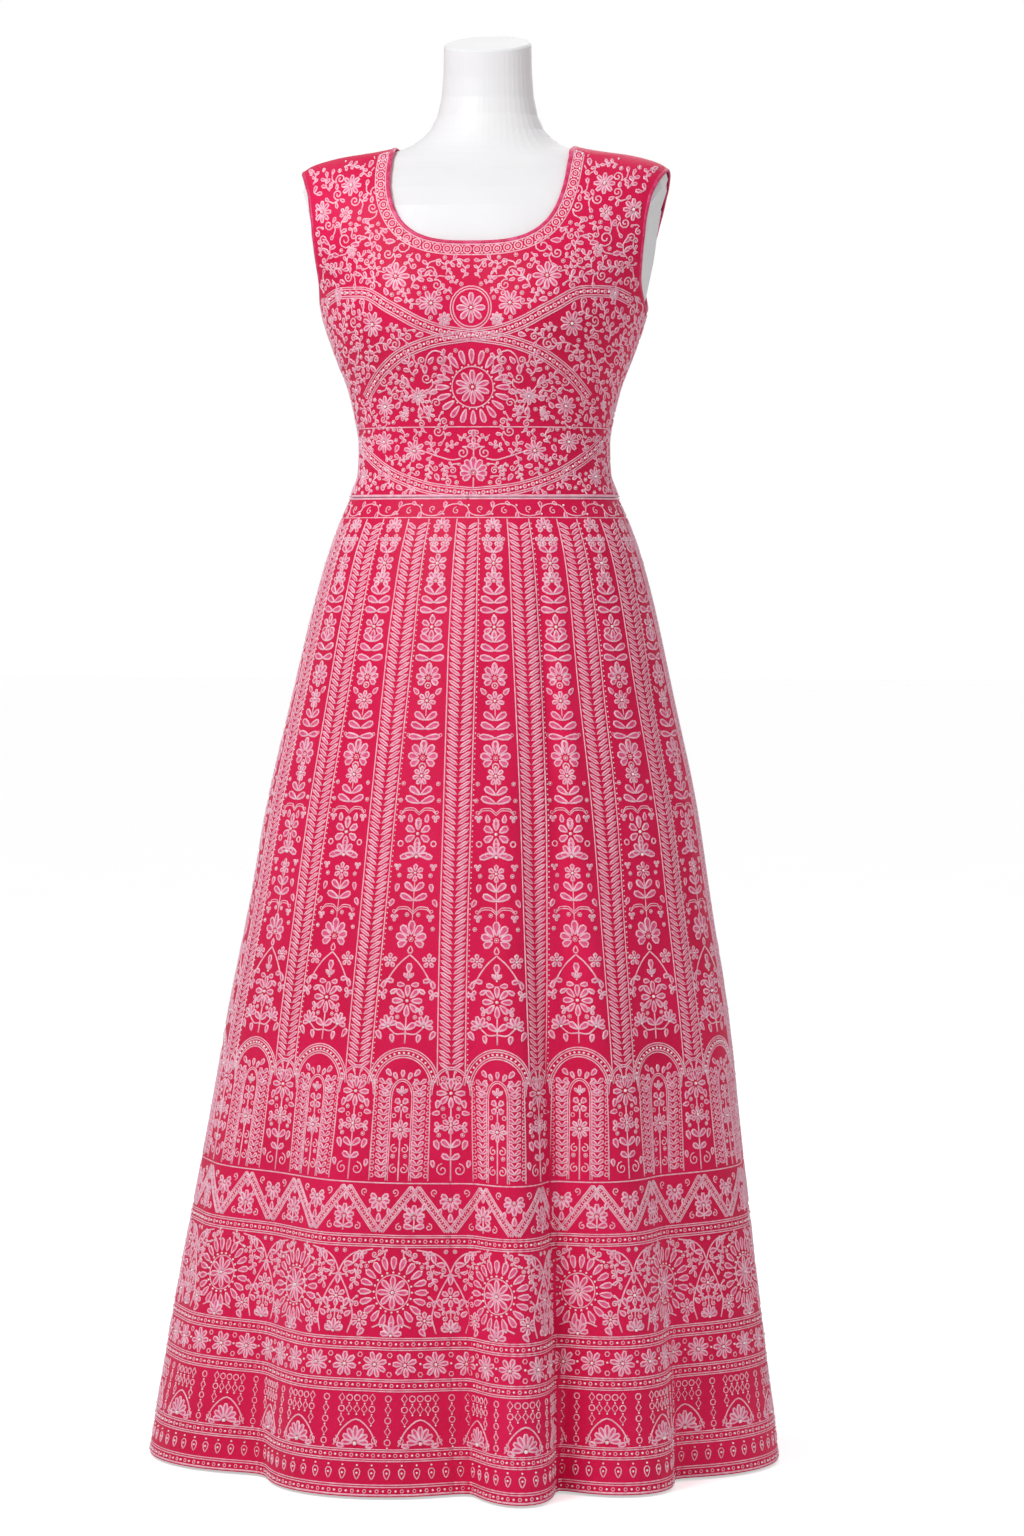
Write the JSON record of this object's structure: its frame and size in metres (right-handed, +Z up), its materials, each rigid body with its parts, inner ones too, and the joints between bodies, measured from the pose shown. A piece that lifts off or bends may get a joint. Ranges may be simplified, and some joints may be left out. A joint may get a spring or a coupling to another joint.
{
  "type": "anarkali gown on a dress form",
  "caption": "Sleeveless floor-length gown with a scoop neck, fitted bodice and flared panelled skirt, standing on a limbless dress form with a round base.",
  "frame": {"origin": "centre of the base plate's underside, on the floor", "axes": "+Z up, the front of the gown faces -Y, +X towards the viewer's right"},
  "size_m": [0.6622, 0.6025, 1.4938],
  "materials": {
    "gown_cloth": "net with dense raised embroidery over a satin backing",
    "bound_edge": "satin binding",
    "form_white": "smooth satin white",
    "stand_steel": "powder-coated"
  },
  "bodies": {
    "root": {"bodice_front": "gown_cloth", "bodice_back": "gown_cloth", "neck_binding": "bound_edge", "armhole_binding_left": "bound_edge", "armhole_binding_right": "bound_edge", "kali_01": "gown_cloth", "kali_02": "gown_cloth", "kali_03": "gown_cloth", "kali_04": "gown_cloth", "kali_05": "gown_cloth", "kali_06": "gown_cloth", "kali_07": "gown_cloth", "kali_08": "gown_cloth", "kali_09": "gown_cloth", "kali_10": "gown_cloth", "kali_11": "gown_cloth", "kali_12": "gown_cloth", "kali_13": "gown_cloth", "kali_14": "gown_cloth", "kali_15": "gown_cloth", "kali_16": "gown_cloth", "form_torso": "form_white", "form_pole": "stand_steel", "form_base": "stand_steel"}
  },
  "joints": []
}
